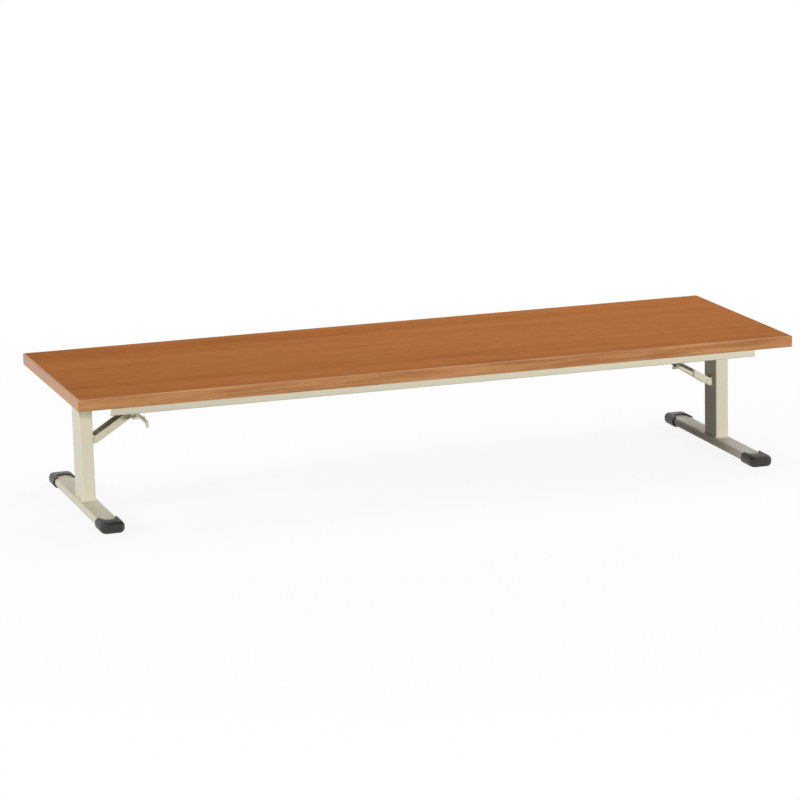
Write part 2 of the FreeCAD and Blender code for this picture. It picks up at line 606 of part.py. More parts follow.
def keeper_bracket():
    x_low = BAR_PLACE.x - KEEPER_INBOARD
    x_high = BAR_PLACE.x + KEEPER_OUTBOARD
    hook_back = BAR_PLACE.x + KEEPER_HOOK_OUTBOARD
    low_z = BAR_PLACE.z - KEEPER_BELOW_BAR
    shell = u_channel(KEEPER_OUTER_Y, x_low, x_high, low_z, KEEPER_PLATE, KEEPER_BEND_RADIUS)
    corner = KEEPER_OUTBOARD - KEEPER_HOOK_OUTBOARD
    waste = plate_from(
        [(hook_back, low_z - OVERRUN), (x_high + OVERRUN, low_z - OVERRUN),
         (x_high + OVERRUN, UNDERSIDE - corner), (x_high, UNDERSIDE - corner),
         (hook_back, UNDERSIDE - 2 * corner)],
        -KEEPER_OUTER_Y - OVERRUN, KEEPER_OUTER_Y + OVERRUN)
    way = bar_leaving_direction()
    side = Vector(-way.z, 0, way.x)
    half = BAR_RADIUS + KEEPER_SLOT_GAP
    neck = BAR_PLACE + way * KEEPER_STRAIGHT
    mouth = BAR_PLACE + way * (KEEPER_INBOARD + OVERRUN)
    flare = half + KEEPER_MOUTH_FLARE
    outline = [
        BAR_PLACE + side * half, neck + side * half, mouth + side * flare,
        mouth - side * flare, neck - side * half, BAR_PLACE - side * half,
    ]
    slot = plate_from([(point.x, point.z) for point in outline],
                      -KEEPER_OUTER_Y - OVERRUN, KEEPER_OUTER_Y + OVERRUN)
    seat = rod(BAR_PLACE, half, -KEEPER_OUTER_Y - OVERRUN, KEEPER_OUTER_Y + OVERRUN)
    holes = [screw_hole(x, y, KEEPER_SEAT, SCREW_HOLE_CLEARANCE) for x, y in keeper_screw_places]
    bracket = shell.cut([waste, slot, seat] + holes)
    heels = edges_along(bracket, Y_AXIS, lambda point: point.z < low_z + RUNNING_FIT)
    return bracket.makeFillet(KEEPER_LIP_ROUND, heels)


def catch_spring():
    finger_inner = POST_WIDTH / 2 + SPRING_POST_GAP
    finger_outer = finger_inner + SPRING_FINGER
    top = KEEPER_SEAT
    bend_x = BAR_PLACE.x - SPRING_STAND_OFF
    bulge_x = BAR_PLACE.x - BAR_RADIUS - SPRING_BAR_GAP
    bulge_top = BAR_PLACE.z + SPRING_BULGE_HEIGHT
    toe = BAR_PLACE.z - SPRING_TOE_DROP
    outer_line = [
        (BAR_PLACE.x + SPRING_BASE_OUT, top), (bend_x - SPRING_THICKNESS, top),
        (bend_x - SPRING_THICKNESS, bulge_top), (bulge_x - SPRING_THICKNESS, BAR_PLACE.z),
        (bend_x - SPRING_THICKNESS, toe),
    ]
    inner_line = [
        (bend_x, toe), (bulge_x, BAR_PLACE.z), (bend_x, bulge_top),
        (bend_x, top - SPRING_THICKNESS), (BAR_PLACE.x + SPRING_BASE_OUT, top - SPRING_THICKNESS),
    ]
    fingers = [plate_from(outer_line + inner_line, low, low + SPRING_FINGER)
               for low in (-finger_outer, finger_inner)]
    bridge = block(
        Vector(BAR_PLACE.x - SPRING_BASE_IN, -finger_outer, top - SPRING_THICKNESS),
        Vector(BAR_PLACE.x + SPRING_BASE_OUT, finger_outer, top))
    return bridge.fuse(fingers).removeSplitter()


# Write every piece, the fittings and leg once for each end of the table
nodes = {
    "top_laminate": top_laminate(),
    "underside_backer": underside_backer(),
    "core_stile_front": core_stile(-1),
    "core_stile_rear": core_stile(1),
    "core_ribs": core_ribs(),
    "honeycomb_fill": honeycomb_fill(),
    "edge_band_front": long_edge_band(-1),
    "edge_band_rear": long_edge_band(1),
    "edge_band_left": end_edge_band(-1),
    "edge_band_right": end_edge_band(1),
    "front_rail": front_rail(),
    "rear_rail": front_rail().mirror(ORIGIN, Y_AXIS),
    "rail_screws": rail_screws(),
}
end_pieces = {
    "core_bearer": core_bearer(),
    "hinge_bracket": hinge_bracket(),
    "bracket_screws": Part.makeCompound([screw(x, y, BRACKET_SEAT) for x, y in bracket_screw_places]),
    "pivot_pin": pivot_pin(),
    "pin_clip": pin_clip(),
    "pivot_sleeve": pivot_sleeve(),
    "leg_post": leg_post(),
    "foot_bar": foot_bar(),
    "foot_cap_rear": foot_cap_rear(),
    "foot_cap_front": foot_cap_rear().mirror(ORIGIN, Y_AXIS),
    "stay_lug": stay_lug(),
    "stay_pin": stay_pin(),
    "fold_stay": fold_stay(),
    "release_bar": release_bar(),
    "keeper_bracket": keeper_bracket(),
    "keeper_screws": Part.makeCompound([screw(x, y, KEEPER_SEAT) for x, y in keeper_screw_places]),
    "catch_spring": catch_spring(),
}
for name, shape in end_pieces.items():
    nodes[name + "_right"] = shape
    nodes[name + "_left"] = mirrored(shape)

os.makedirs("parts", exist_ok=True)
for name, shape in nodes.items():
    shape.exportStep("parts/" + name + ".step")
    print(name, "solids", len(shape.Solids), "valid", shape.isValid(), "volume", round(shape.Volume, 1))
print("stay pivot", STAY_PIVOT, "bar", BAR_PLACE, "pivot", PIVOT)
print("stay turn against the leg", STAY_TURN_DEG + LEG_FOLD_DEG)
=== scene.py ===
import math

import bmesh
import bpy
from mathutils import Color, Matrix, Vector


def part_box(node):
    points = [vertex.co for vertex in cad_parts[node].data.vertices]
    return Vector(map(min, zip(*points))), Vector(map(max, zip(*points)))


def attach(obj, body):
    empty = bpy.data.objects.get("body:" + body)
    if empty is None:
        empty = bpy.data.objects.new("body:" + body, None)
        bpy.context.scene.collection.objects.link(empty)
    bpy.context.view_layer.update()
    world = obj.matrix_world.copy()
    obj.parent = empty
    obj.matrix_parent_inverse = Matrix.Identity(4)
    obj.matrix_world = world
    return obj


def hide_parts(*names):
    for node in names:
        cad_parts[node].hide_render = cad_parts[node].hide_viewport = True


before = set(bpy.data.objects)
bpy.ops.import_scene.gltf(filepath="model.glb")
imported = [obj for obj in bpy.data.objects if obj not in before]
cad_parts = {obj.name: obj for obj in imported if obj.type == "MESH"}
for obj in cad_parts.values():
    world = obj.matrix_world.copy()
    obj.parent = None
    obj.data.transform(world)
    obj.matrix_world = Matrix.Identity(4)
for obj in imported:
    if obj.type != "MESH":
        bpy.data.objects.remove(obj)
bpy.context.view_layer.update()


# The core timbers: softwood stiles, ribs and bearers, the skeleton of the flush panel.
# They are sawn square and glued between its two sheets, and the bearers take the screws
# of the leg fittings. The stiles' grain runs along the table, the others' across it.
GRAIN_WANDER = 0.03
BROAD_GRAIN_SHARE = 0.4
FIBRE_SHARE = 0.35
GRAIN_RELIEF = (0.12, 0.0002)
NOISE_SPAN = (0.3, 0.7)


def shade(red, green, blue):
    """A linear colour with full opacity from levels of 0 to 255."""
    return (*Color((red / 255, green / 255, blue / 255)).from_srgb_to_scene_linear(), 1.0)


def place(tree, kind, inputs=None, **settings):
    """Add a node, set its properties, and set or link its inputs by name or number."""
    made = tree.nodes.new(kind)
    for name, value in settings.items():
        setattr(made, name, value)
    for socket, value in (inputs or {}).items():
        if isinstance(value, bpy.types.NodeSocket):
            tree.links.new(value, made.inputs[socket])
        else:
            made.inputs[socket].default_value = value
    return made


def result_of(tree, operation, first, second=0.0):
    """A Math node's result."""
    return place(tree, "ShaderNodeMath", {0: first, 1: second}, operation=operation).outputs[0]


def stepped(tree, value, low, high, to_low=0.0, to_high=1.0):
    """A value taken from one range to another and held inside it."""
    sockets = {"Value": value, "From Min": low, "From Max": high, "To Min": to_low, "To Max": to_high}
    return place(tree, "ShaderNodeMapRange", sockets).outputs["Result"]


def mixed(tree, share, first, second, way="MIX"):
    """Two colours mixed by a share."""
    sockets = {0: share, 6: first, 7: second}
    return place(tree, "ShaderNodeMix", sockets, data_type="RGBA", blend_type=way).outputs[2]


def noise(tree, vector, cells, detail=2.0, roughness=0.5):
    """A noise value with a given number of cells to the metre along X, Y and Z."""
    scaled = place(tree, "ShaderNodeVectorMath", {0: vector, 1: cells}, operation="MULTIPLY").outputs[0]
    sockets = {"Vector": scaled, "Scale": 1.0, "Detail": detail, "Roughness": roughness}
    return place(tree, "ShaderNodeTexNoise", sockets).outputs["Fac"]


def bumped(tree, height, strength, depth):
    """A surface normal raised by a height, whose full depth is in metres."""
    sockets = {"Strength": strength, "Distance": depth, "Height": height}
    return place(tree, "ShaderNodeBump", sockets).outputs["Normal"]


def new_tree(name, kind, inputs, outputs):
    """Start a node group, and return it with its entry sockets and its exit node."""
    tree = bpy.data.node_groups.new(name, kind)
    for socket, socket_kind in inputs.items():
        tree.interface.new_socket(socket, in_out="INPUT", socket_type=socket_kind)
    for socket, socket_kind in outputs.items():
        tree.interface.new_socket(socket, in_out="OUTPUT", socket_type=socket_kind)
    return tree, tree.nodes.new("NodeGroupInput").outputs, tree.nodes.new("NodeGroupOutput")


def long_grain_effect():
    """Wood grain along X: broad bands, streaks, fibres and short dark pores."""
    tree, entry, leave = new_tree(
        "long_grain", "ShaderNodeTree",
        {"Vector": "NodeSocketVector", "Pale": "NodeSocketColor", "Middle": "NodeSocketColor",
         "Dark": "NodeSocketColor", "Pores": "NodeSocketFloat", "Smoothest": "NodeSocketFloat",
         "Roughest": "NodeSocketFloat"},
        {"Color": "NodeSocketColor", "Roughness": "NodeSocketFloat", "Height": "NodeSocketFloat"})
    wander = noise(tree, entry["Vector"], cells=(1.3, 4.0, 4.0), detail=1.0)
    aside = result_of(tree, "MULTIPLY", result_of(tree, "SUBTRACT", wander, 0.5), GRAIN_WANDER)
    shift = place(tree, "ShaderNodeCombineXYZ", {"Y": aside, "Z": aside}).outputs[0]
    along = place(tree, "ShaderNodeVectorMath", {0: entry["Vector"], 1: shift}, operation="ADD").outputs[0]
    bands = noise(tree, along, cells=(0.45, 11.0, 11.0))
    streaks = noise(tree, along, cells=(4.0, 85.0, 85.0), detail=4.0, roughness=0.6)
    fibres = noise(tree, along, cells=(9.0, 420.0, 420.0), detail=3.0, roughness=0.6)
    specks = noise(tree, along, cells=(38.0, 900.0, 900.0), detail=1.0)
    pores = stepped(tree, specks, low=0.60, high=0.68)
    broad = result_of(tree, "MULTIPLY", bands, BROAD_GRAIN_SHARE)
    tone = result_of(tree, "ADD", broad, result_of(tree, "MULTIPLY", streaks, 1 - BROAD_GRAIN_SHARE))
    warm = mixed(tree, stepped(tree, tone, low=0.44, high=0.66), entry["Middle"], entry["Pale"])
    cool = mixed(tree, stepped(tree, tone, low=0.30, high=0.48), entry["Dark"], warm)
    fibre_share = stepped(tree, fibres, low=0.35, high=0.70, to_high=FIBRE_SHARE)
    fibred = mixed(tree, fibre_share, cool, entry["Dark"])
    pore_share = result_of(tree, "MULTIPLY", pores, entry["Pores"])
    pored = mixed(tree, pore_share, fibred, entry["Dark"], way="MULTIPLY")
    tree.links.new(pored, leave.inputs["Color"])
    rough = stepped(tree, streaks, *NOISE_SPAN, entry["Smoothest"], entry["Roughest"])
    tree.links.new(rough, leave.inputs["Roughness"])
    tree.links.new(result_of(tree, "SUBTRACT", fibres, pores), leave.inputs["Height"])
    return tree


def new_finish(name):
    """Start a material, and return it with its node tree, its shader and the place on the piece."""
    made = bpy.data.materials.new(name)
    made.use_nodes = True
    tree = made.node_tree
    spot = place(tree, "ShaderNodeTexCoord").outputs["Object"]
    return made, tree, tree.nodes["Principled BSDF"], spot


def cover(tree, surface, colour, roughness, normal):
    """Link what changes over a surface to its shader."""
    tree.links.new(colour, surface.inputs["Base Color"])
    tree.links.new(roughness, surface.inputs["Roughness"])
    tree.links.new(normal, surface.inputs["Normal"])


def woodgrain(name, colours, pores, roughness, shine, turn_deg=0.0):
    """Wood whose grain runs along X, or along another way in plan, in pale, middle and dark colours."""
    made, tree, surface, spot = new_finish(name)
    rotation = (0, 0, math.radians(turn_deg))
    turned = place(tree, "ShaderNodeMapping", {"Vector": spot, "Rotation": rotation}).outputs[0]
    pale, middle, dark = colours
    smoothest, roughest = roughness
    sockets = {
        "Vector": turned, "Pale": pale, "Middle": middle, "Dark": dark, "Pores": pores,
        "Smoothest": smoothest, "Roughest": roughest}
    grain = place(tree, "ShaderNodeGroup", sockets, node_tree=long_grain).outputs
    relief = bumped(tree, grain["Height"], *GRAIN_RELIEF)
    cover(tree, surface, grain["Color"], grain["Roughness"], relief)
    surface.inputs["Specular IOR Level"].default_value = shine
    return made


def dress(finish, *names):
    """Give CAD pieces a finish."""
    for name in names:
        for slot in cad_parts[name].material_slots:
            slot.material = finish


CORE_COLOURS = (shade(226, 196, 148), shade(214, 178, 126), shade(186, 144, 92))
CORE_PORES = 0.15
CORE_ROUGHNESS = (0.70, 0.85)
CORE_SHINE = 0.2
long_grain = long_grain_effect()
core_finish = woodgrain("core_softwood", CORE_COLOURS, CORE_PORES, CORE_ROUGHNESS, CORE_SHINE)
cross_core_finish = woodgrain(
    "core_softwood_cross", CORE_COLOURS, CORE_PORES, CORE_ROUGHNESS, CORE_SHINE, turn_deg=90.0)
dress(core_finish, "core_stile_front", "core_stile_rear")
dress(cross_core_finish, "core_ribs", "core_bearer_left", "core_bearer_right")


# The honeycomb: expanded kraft paper glued between the two sheets in the four bays of the core.
# It keeps the sheets apart and weighs almost nothing; its cells stand on end, glued flat to flat.
CELL_ACROSS = 0.036
CELL_WALL = 0.0004
CELL_SIDES = 6
BAY_DIGITS = 5
MERGE_GAP = 1e-6
SHARP_EDGE = math.radians(40)
WIDE_NOISE_SPAN = (0.2, 0.8)
PAPER_COLOURS = (shade(150, 112, 70), shade(188, 150, 104))
PAPER_ROUGHNESS = (0.75, 0.95)
PAPER_RELIEF = (0.2, 0.0002)


def kraft_paper():
    """Brown paper whose fibres run up the cells."""
    made, tree, surface, spot = new_finish("kraft_paper")
    fibres = noise(tree, spot, cells=(300.0, 300.0, 60.0), detail=3.0, roughness=0.7)
    colour = mixed(tree, fibres, *PAPER_COLOURS)
    rough = stepped(tree, fibres, *WIDE_NOISE_SPAN, *PAPER_ROUGHNESS)
    cover(tree, surface, colour, rough, bumped(tree, fibres, *PAPER_RELIEF))
    return made


def link(name, data):
    """An object for a mesh, a lamp or a camera, in the scene."""
    made = bpy.data.objects.new(name, data)
    bpy.context.scene.collection.objects.link(made)
    return made


def lathe(name, profile, segments, finish):
    """A closed turned piece, or one with flat sides, from its radius and height at each step, about Z."""
    shape = bmesh.new()
    angles = [math.tau * count / segments for count in range(segments)]
    rings = []
    for radius, height in profile:
        ring = [(radius * math.cos(angle), radius * math.sin(angle), height) for angle in angles]
        if radius == 0:
            ring = ring[:1]
        rings.append([shape.verts.new(corner) for corner in ring])
    for lower, upper in zip(rings, rings[1:]):
        for count in range(segments):
            after = (count + 1) % segments
            corners = [lower[count % len(lower)], lower[after % len(lower)],
                       upper[after % len(upper)], upper[count % len(upper)]]
            shape.faces.new(list(dict.fromkeys(corners)))
    bmesh.ops.remove_doubles(shape, verts=shape.verts, dist=MERGE_GAP)
    bmesh.ops.recalc_face_normals(shape, faces=shape.faces)
    mesh = bpy.data.meshes.new(name)
    mesh.materials.append(finish)
    shape.to_mesh(mesh)
    shape.free()
    mesh.shade_smooth()
    mesh.set_sharp_from_angle(angle=SHARP_EDGE)
    return mesh


def baked(piece):
    """The piece's mesh with its modifiers worked in, and the modifiers gone."""
    ready = piece.evaluated_get(bpy.context.evaluated_depsgraph_get())
    mesh = bpy.data.meshes.new_from_object(ready)
    piece.modifiers.clear()
    return mesh


def set_out(tree, places, pattern, finish, **turned):
    """A copy of some geometry at every point, made real and given its finish."""
    sockets = {"Points": places, "Instance": pattern, **turned}
    copies = place(tree, "GeometryNodeInstanceOnPoints", sockets).outputs[0]
    real = place(tree, "GeometryNodeRealizeInstances", {0: copies}).outputs[0]
    return place(tree, "GeometryNodeSetMaterial", {"Geometry": real, "Material": finish}).outputs[0]


def pattern_set_tree():
    """A copy of a pattern at every point, each turned about Z by up to a given angle."""
    tree, entry, leave = new_tree(
        "pattern_set", "GeometryNodeTree",
        {"Places": "NodeSocketGeometry", "Pattern": "NodeSocketObject", "Most Turn": "NodeSocketFloat",
         "Seed": "NodeSocketInt", "Finish": "NodeSocketMaterial"},
        {"Set": "NodeSocketGeometry"})
    pattern = place(tree, "GeometryNodeObjectInfo", {"Object": entry["Pattern"]}).outputs["Geometry"]
    chance = {2: 0.0, 3: entry["Most Turn"], "Seed": entry["Seed"]}
    angle = place(tree, "FunctionNodeRandomValue", chance, data_type="FLOAT").outputs[1]
    turn = place(tree, "ShaderNodeCombineXYZ", {"Z": angle}).outputs[0]
    copies = set_out(tree, entry["Places"], pattern, entry["Finish"], Rotation=turn)
    tree.links.new(copies, leave.inputs["Set"])
    return tree


def grown(name, tree, places, values):
    """Run a Geometry Nodes tree once over some points, and keep the result as a plain mesh."""
    start = bpy.data.meshes.new(name)
    start.from_pydata(places, [], [])
    piece = link(name, start)
    modifier = piece.modifiers.new(name, "NODES")
    modifier.node_group = tree
    for socket in tree.interface.items_tree:
        if socket.in_out == "INPUT" and socket.name in values:
            modifier[socket.identifier] = values[socket.name]
    piece.data = baked(piece)
    return piece


def cell_centres(bay_x, bay_y, level):
    """The centres of the whole cells that fit in a bay, column by column."""
    corner = CELL_ACROSS / math.sqrt(3)
    column_pitch = 1.5 * corner
    columns = int((bay_x[1] - bay_x[0] - 2 * corner) / column_pitch) + 1
    rows = int((bay_y[1] - bay_y[0]) / CELL_ACROSS)
    first_x = (bay_x[0] + bay_x[1] - (columns - 1) * column_pitch) / 2
    first_y = (bay_y[0] + bay_y[1] - (rows - 1) * CELL_ACROSS) / 2
    centres = []
    for column in range(columns):
        shifted = column % 2
        for row in range(rows - shifted):
            y = first_y + (row + shifted / 2) * CELL_ACROSS
            centres.append((first_x + column * column_pitch, y, level))
    return centres


fill_low, fill_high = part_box("honeycomb_fill")
fill_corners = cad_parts["honeycomb_fill"].data.vertices
bay_sides = sorted({round(corner.co.x, BAY_DIGITS) for corner in fill_corners})
cells = []
for bay_x in zip(bay_sides[::2], bay_sides[1::2]):
    cells += cell_centres(bay_x, (fill_low.y, fill_high.y), fill_low.z)
cell_height = fill_high.z - fill_low.z
cell_outside = CELL_ACROSS / math.sqrt(3) - CELL_WALL / 4
cell_inside = cell_outside - CELL_WALL
cell_profile = [
    (cell_outside, 0), (cell_outside, cell_height), (cell_inside, cell_height), (cell_inside, 0),
    (cell_outside, 0)]
paper_finish = kraft_paper()
cell_pattern = link("cell_pattern", lathe("cell_pattern", cell_profile, CELL_SIDES, paper_finish))
pattern_set = pattern_set_tree()
honeycomb = grown("paper_honeycomb", pattern_set, cells, {
    "Pattern": cell_pattern, "Most Turn": 0.0, "Seed": 0, "Finish": paper_finish})
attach(honeycomb, "frame")
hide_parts("honeycomb_fill")
bpy.data.objects.remove(cell_pattern)


# The backing sheet: a thin pale board that balances the laminate and closes the panel below.
# It is plain, a little fibrous, and stays unvarnished.
BOARD_COLOURS = (shade(196, 178, 150), shade(214, 199, 174))
SPECK_COLOUR = shade(158, 136, 106)
SPECK_SHARE = 0.3
BOARD_ROUGHNESS = (0.62, 0.78)
BOARD_RELIEF = (0.15, 0.0003)


def tinted(tree, base, mask, share, colour):
    """A colour with a share of another laid over it where a mask says."""
    return mixed(tree, result_of(tree, "MULTIPLY", mask, share), base, colour)


def backing_board():
    """Pale clouded board with darker specks of fibre."""
    made, tree, surface, spot = new_finish("pale_backing_board")
    clouds = noise(tree, spot, cells=(7.0, 7.0, 7.0), detail=4.0, roughness=0.6)
    specks = stepped(tree, noise(tree, spot, cells=(260.0, 520.0, 260.0)), low=0.60, high=0.74)
    colour = tinted(tree, mixed(tree, clouds, *BOARD_COLOURS), specks, SPECK_SHARE, SPECK_COLOUR)
    rough = stepped(tree, clouds, *WIDE_NOISE_SPAN, *BOARD_ROUGHNESS)
    cover(tree, surface, colour, rough, bumped(tree, specks, *BOARD_RELIEF))
    return made


dress(backing_board(), "underside_backer")


# The laminate sheet: the printed woodgrain face of the table, a thin hard decor sheet
# pressed on to the core. It is satin, with fine pores, and ends in a fine glue line
# where it meets the edge bands.
LAMINATE_COLOURS = (shade(184, 118, 63), shade(172, 106, 53), shade(150, 86, 40))
LAMINATE_PORES = 0.35
LAMINATE_ROUGHNESS = (0.52, 0.66)
LAMINATE_SHINE = 0.01
GLUE_COLOUR = shade(74, 46, 24)
GLUE_SHARE = 0.8
GLUE_WIDTH = 0.001


def glue_line(finish, node):
    """Darken a sheet's finish in a fine line where the sheet meets the strips round it."""
    tree = finish.node_tree
    wood = tree.nodes["Principled BSDF"].inputs["Base Color"]
    spot = place(tree, "ShaderNodeTexCoord").outputs["Object"]
    apart = place(tree, "ShaderNodeSeparateXYZ", {0: spot}).outputs
    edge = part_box(node)[1]
    from_end = result_of(tree, "SUBTRACT", edge.x, result_of(tree, "ABSOLUTE", apart["X"]))
    from_side = result_of(tree, "SUBTRACT", edge.y, result_of(tree, "ABSOLUTE", apart["Y"]))
    nearest = result_of(tree, "MINIMUM", from_end, from_side)
    line = stepped(tree, nearest, low=0.0, high=GLUE_WIDTH, to_low=GLUE_SHARE, to_high=0.0)
    tree.links.new(mixed(tree, line, wood.links[0].from_socket, GLUE_COLOUR), wood)


laminate_finish = woodgrain(
    "woodgrain_face", LAMINATE_COLOURS, LAMINATE_PORES, LAMINATE_ROUGHNESS, LAMINATE_SHINE)
glue_line(laminate_finish, "top_laminate")
dress(laminate_finish, "top_laminate")


# The edge bands: thicker plastic strips of a like print glued round the panel, glossier than the
# face, their arrises rounded so that no hand meets a sharp edge. The print runs along each strip.
# The band colours are lighter than the face's. Part of that is their own print, and part is painted sheen:
# colour that takes the place of the reflection their low shine leaves out.
BAND_PRINT_AND_SHEEN_COLOURS = (shade(200, 149, 101), shade(178, 122, 76), shade(146, 95, 57))
BAND_PORES = 0.25
BAND_ROUGHNESS = (0.28, 0.40)
BAND_SHINE = 0.25
long_band_finish = woodgrain("woodgrain_long_band", BAND_PRINT_AND_SHEEN_COLOURS, BAND_PORES, BAND_ROUGHNESS, BAND_SHINE)
end_band_finish = woodgrain(
    "woodgrain_end_band", BAND_PRINT_AND_SHEEN_COLOURS, BAND_PORES, BAND_ROUGHNESS, BAND_SHINE, turn_deg=90.0)
dress(long_band_finish, "edge_band_front", "edge_band_rear")
dress(end_band_finish, "edge_band_left", "edge_band_right")


# The rails: cream enamelled steel channels under the long sides, pressed from sheet and screwed up
# into the stiles. The same stoved enamel covers the leg fittings, the legs and the stays.
ENAMEL_COLOURS = (shade(211, 204, 181), shade(219, 212, 191))
ENAMEL_SCUFF_COLOUR = shade(166, 160, 142)
ENAMEL_SCUFF_SHARE = 0.16
ENAMEL_DUST_COLOUR = shade(150, 140, 122)
ENAMEL_DUST_SHARE = 0.18
ENAMEL_ROUGHNESS = (0.30, 0.42)
ENAMEL_RELIEF = (0.10, 0.00025)
ENAMEL_SHINE = 0.2
DUST_LEVELS = (0.005, 0.09)
SLANT = (0.5, 0.4, 0.9)
STEEP_SLANT = (-0.8, 1.0, 0.3)


def handling_effect():
    """What use leaves on a surface: fine scratches, finger smears and dust near the floor."""
    tree, entry, leave = new_tree(
        "handling", "ShaderNodeTree", {"Vector": "NodeSocketVector"},
        {"Scratches": "NodeSocketFloat", "Smears": "NodeSocketFloat", "Dust": "NodeSocketFloat"})
    spot = entry["Vector"]
    patches = stepped(tree, noise(tree, spot, cells=(9.0, 9.0, 9.0)), low=0.45, high=0.70)
    slanted = place(tree, "ShaderNodeMapping", {"Vector": spot, "Rotation": SLANT}).outputs[0]
    steep = place(tree, "ShaderNodeMapping", {"Vector": spot, "Rotation": STEEP_SLANT}).outputs[0]
    lines = stepped(tree, noise(tree, slanted, cells=(14.0, 90.0, 800.0)), low=0.66, high=0.72)
    cross_lines = stepped(tree, noise(tree, steep, cells=(800.0, 12.0, 90.0)), low=0.67, high=0.73)
    both = result_of(tree, "MAXIMUM", lines, cross_lines)
    height = place(tree, "ShaderNodeSeparateXYZ", {0: spot}).outputs["Z"]
    low_down = stepped(tree, height, *DUST_LEVELS, to_low=1.0, to_high=0.0)
    grime = noise(tree, spot, cells=(60.0, 60.0, 60.0), detail=4.0, roughness=0.65)
    tree.links.new(result_of(tree, "MULTIPLY", patches, both), leave.inputs["Scratches"])
    tree.links.new(noise(tree, spot, cells=(16.0, 16.0, 16.0), detail=3.0), leave.inputs["Smears"])
    tree.links.new(result_of(tree, "MULTIPLY", low_down, grime), leave.inputs["Dust"])
    return tree


def cream_enamel():
    """Stoved enamel with a faint peel, a little scuffed by hands and dusty near the floor."""
    made, tree, surface, spot = new_finish("stoved_cream_enamel")
    use = place(tree, "ShaderNodeGroup", {"Vector": spot}, node_tree=handling).outputs
    clouds = noise(tree, spot, cells=(5.0, 5.0, 5.0))
    peel = noise(tree, spot, cells=(620.0, 620.0, 620.0), detail=1.0)
    coat = mixed(tree, clouds, *ENAMEL_COLOURS)
    scuffed = tinted(tree, coat, use["Scratches"], ENAMEL_SCUFF_SHARE, ENAMEL_SCUFF_COLOUR)
    colour = tinted(tree, scuffed, use["Dust"], ENAMEL_DUST_SHARE, ENAMEL_DUST_COLOUR)
    rough = stepped(tree, use["Smears"], *NOISE_SPAN, *ENAMEL_ROUGHNESS)
    cover(tree, surface, colour, rough, bumped(tree, peel, *ENAMEL_RELIEF))
    surface.inputs["Specular IOR Level"].default_value = ENAMEL_SHINE
    return made


handling = handling_effect()
enamel_finish = cream_enamel()
dress(enamel_finish, "front_rail", "rear_rail")


# The leg fittings: hinge brackets and keepers pressed from steel plate, enamelled with the rails
# and screwed up into the bearers.
SIDES = ("_left", "_right")
for side in SIDES:
    dress(enamel_finish, "hinge_bracket" + side, "keeper_bracket" + side)


# The screws: zinc plated pan heads with a cross recess, driven up through the rails,
# the hinge brackets and the keepers into the softwood.
SCREW_HEAD_RADIUS = 0.004
SCREW_HEAD_HEIGHT = 0.0024
SCREW_HEAD_SHARES = ((0.45, 0.96), (0.75, 0.80), (0.94, 0.50), (1.0, 0.20), (1.0, 0.0))
SCREW_SHANK_RADIUS = 0.0019
SCREW_LENGTH = 0.016
SCREW_TAPER_SHARE = 0.75
SCREW_SEGMENTS = 20
RECESS_REACH = 0.0023
RECESS_HALF_WIDTH = 0.0005
RECESS_DEPTH = 0.0014
ZINC_COLOURS = (shade(168, 170, 170), shade(204, 205, 202))
ZINC_DUST_COLOUR = shade(128, 122, 112)
ZINC_DUST_SHARE = 0.2
ZINC_ROUGHNESS = (0.26, 0.40)
ZINC_WEAR = 0.15
ZINC_RELIEF = (0.08, 0.0002)


def zinc_plate():
    """Bright plate with the mottled bloom of zinc, duller where it is scratched."""
    made, tree, surface, spot = new_finish("bright_zinc")
    use = place(tree, "ShaderNodeGroup", {"Vector": spot}, node_tree=handling).outputs
    bloom = noise(tree, spot, cells=(140.0, 140.0, 140.0), detail=3.0, roughness=0.6)
    plate = mixed(tree, bloom, *ZINC_COLOURS)
    colour = tinted(tree, plate, use["Dust"], ZINC_DUST_SHARE, ZINC_DUST_COLOUR)
    worn = result_of(tree, "MULTIPLY", use["Scratches"], ZINC_WEAR)
    rough = result_of(tree, "ADD", stepped(tree, bloom, *NOISE_SPAN, *ZINC_ROUGHNESS), worn)
    cover(tree, surface, colour, rough, bumped(tree, bloom, *ZINC_RELIEF))
    surface.inputs["Metallic"].default_value = 1.0
    return made


def pan_head_screw():
    """One screw pointing up, its seat at the origin, with a cross cut into its head."""
    low = -SCREW_HEAD_HEIGHT
    head = [(radius * SCREW_HEAD_RADIUS, depth * low) for radius, depth in SCREW_HEAD_SHARES]
    taper = SCREW_TAPER_SHARE * SCREW_LENGTH
    shank = [(SCREW_SHANK_RADIUS, 0), (SCREW_SHANK_RADIUS, taper), (0, SCREW_LENGTH)]
    profile = [(0, low), *head, *shank]
    piece = link("screw_pattern", lathe("screw_pattern", profile, SCREW_SEGMENTS, zinc_finish))
    cross = bmesh.new()
    for reach_x, reach_y in ((RECESS_REACH, RECESS_HALF_WIDTH), (RECESS_HALF_WIDTH, RECESS_REACH)):
        scale = Matrix.Diagonal((2 * reach_x, 2 * reach_y, 2 * RECESS_DEPTH, 1))
        bmesh.ops.create_cube(cross, size=1.0, matrix=Matrix.Translation((0, 0, low)) @ scale)
    cutter_mesh = bpy.data.meshes.new("screw_recess")
    cross.to_mesh(cutter_mesh)
    cross.free()
    cutter = link("screw_recess", cutter_mesh)
    cut = piece.modifiers.new("recess", "BOOLEAN")
    cut.operation = "DIFFERENCE"
    cut.solver = "EXACT"
    cut.use_self = True
    cut.object = cutter
    piece.data = baked(piece)
    bpy.data.objects.remove(cutter)
    return piece


def screw_seats(node, columns):
    """The seats of a node's screws, which stand in two rows, from the node's box."""
    low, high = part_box(node)
    first = low.x + SCREW_HEAD_RADIUS
    step = (high.x - SCREW_HEAD_RADIUS - first) / (columns - 1)
    seat = low.z + SCREW_HEAD_HEIGHT
    rows = (low.y + SCREW_HEAD_RADIUS, high.y - SCREW_HEAD_RADIUS)
    return [(first + count * step, y, seat) for count in range(columns) for y in rows]


